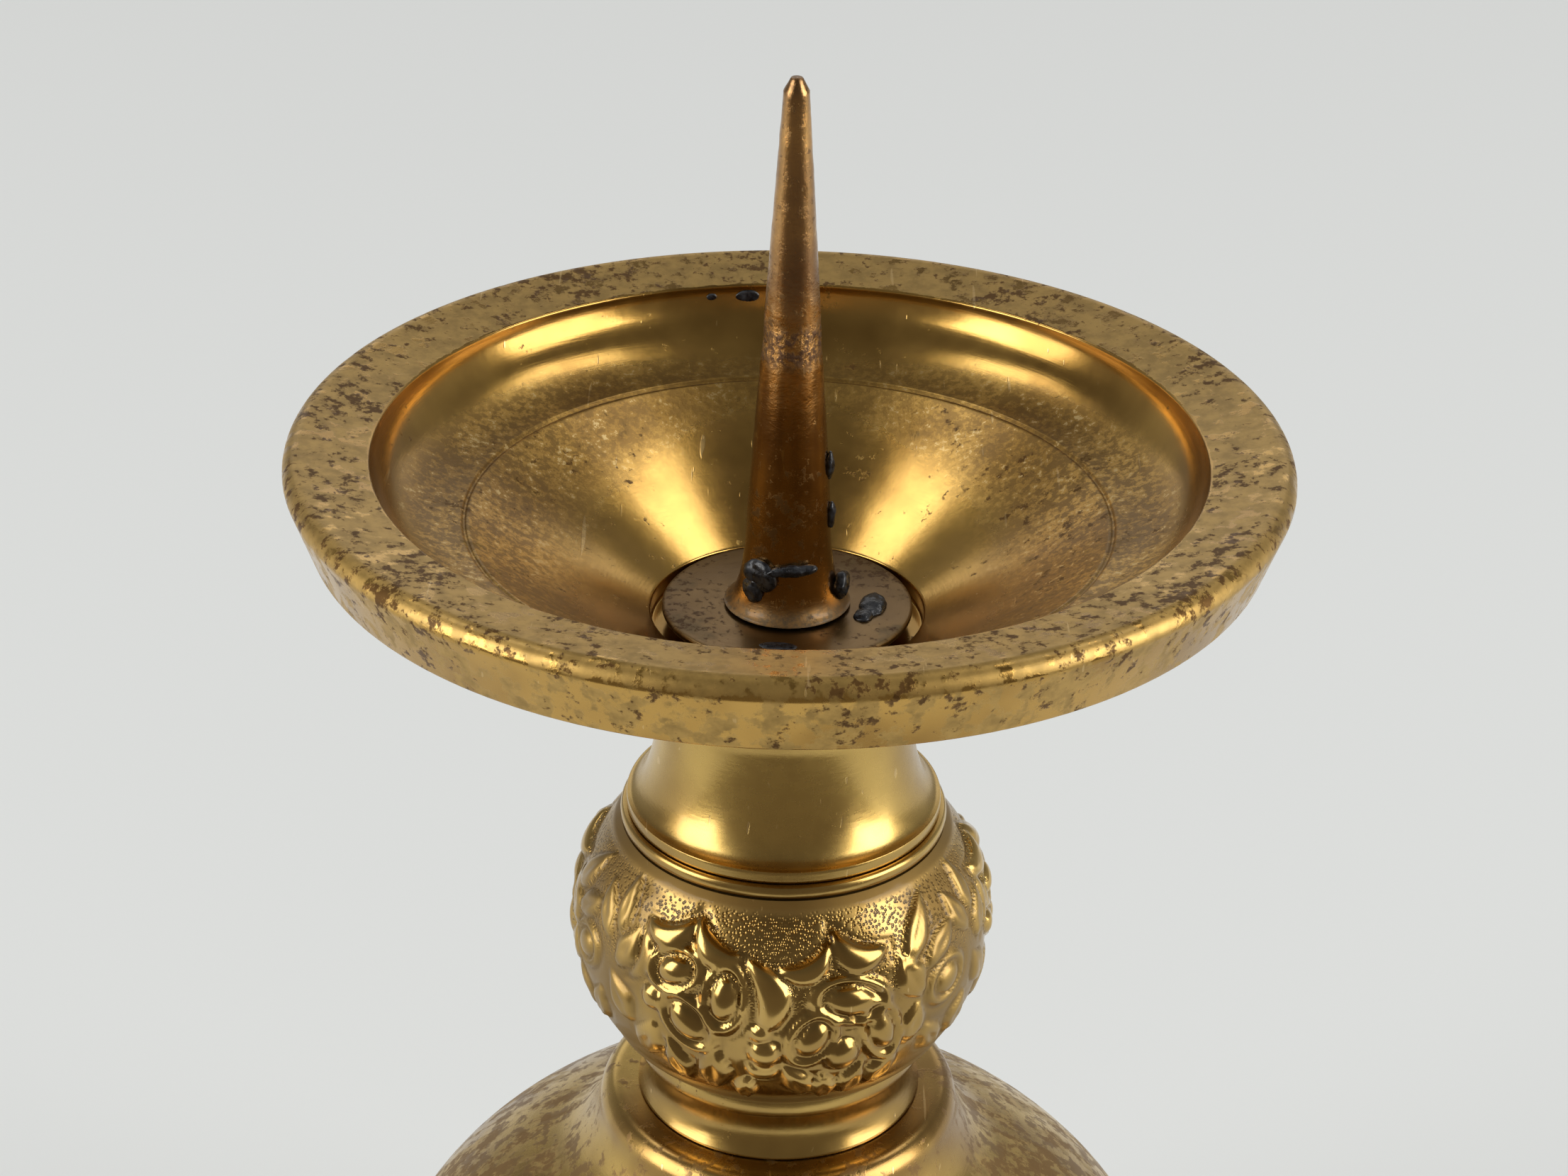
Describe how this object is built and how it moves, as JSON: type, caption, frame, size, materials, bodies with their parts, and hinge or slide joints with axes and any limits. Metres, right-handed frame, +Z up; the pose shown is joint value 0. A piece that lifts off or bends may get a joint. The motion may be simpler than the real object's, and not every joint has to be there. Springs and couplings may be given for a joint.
{
  "type": "altar candlestick",
  "caption": "Brass pricket candlestick: spike on a raised disc in a deep funnel drip pan, on a turned stem with ball knop, bulb and flared foot.",
  "frame": {"origin": "centre of the foot's resting plane, on the axis of turning", "axes": "+Z up along the axis of turning, towards the tip of the spike"},
  "size_m": [0.06, 0.06, 0.1198],
  "materials": {
    "lacquered_brass": "turned brass under old clear lacquer, speckled brown where the lacquer has worn through",
    "polished_brass": "bright polished cast brass with dark ground between the relief",
    "worn_brass": "satin brass with mottled brown tarnish",
    "heated_brass": "brass browned by flame, with soot and wax residue",
    "rod_steel": "dull drawn steel"
  },
  "bodies": {
    "stem": {"foot": "worn_brass", "waist_ring": "lacquered_brass", "bulb_body": "worn_brass", "collar": "polished_brass", "lower_ball_ring": "polished_brass", "knop_ball": "polished_brass", "upper_ball_ring": "polished_brass", "neck": "lacquered_brass", "tie_rod": "rod_steel", "rod_washer": "rod_steel", "rod_nut": "rod_steel"},
    "pan": {"drip_pan": "lacquered_brass", "pan_bush": "worn_brass"},
    "disc": {"pricket_disc": "heated_brass"},
    "spike": {"pricket_spike": "heated_brass", "disc_ferrule": "worn_brass"}
  },
  "joints": [
    {"name": "pan_lift", "type": "slide", "parent": "stem", "child": "pan", "axis": [0, 0, 1], "range_m": [0, 0.008]},
    {"name": "pricket_rise", "type": "slide", "parent": "pan", "child": "disc", "axis": [0, 0, 1], "range_m": [0, 0.005]},
    {"name": "pricket_turn", "type": "hinge", "parent": "disc", "child": "spike", "pos_m": [0, 0, 0.09], "axis": [0, 0, 1], "range_deg": [0, 1800]}
  ],
  "couplings": [
    {"joint": "pricket_turn", "follows": "pricket_rise", "rad_per_m": 6283.2}
  ]
}
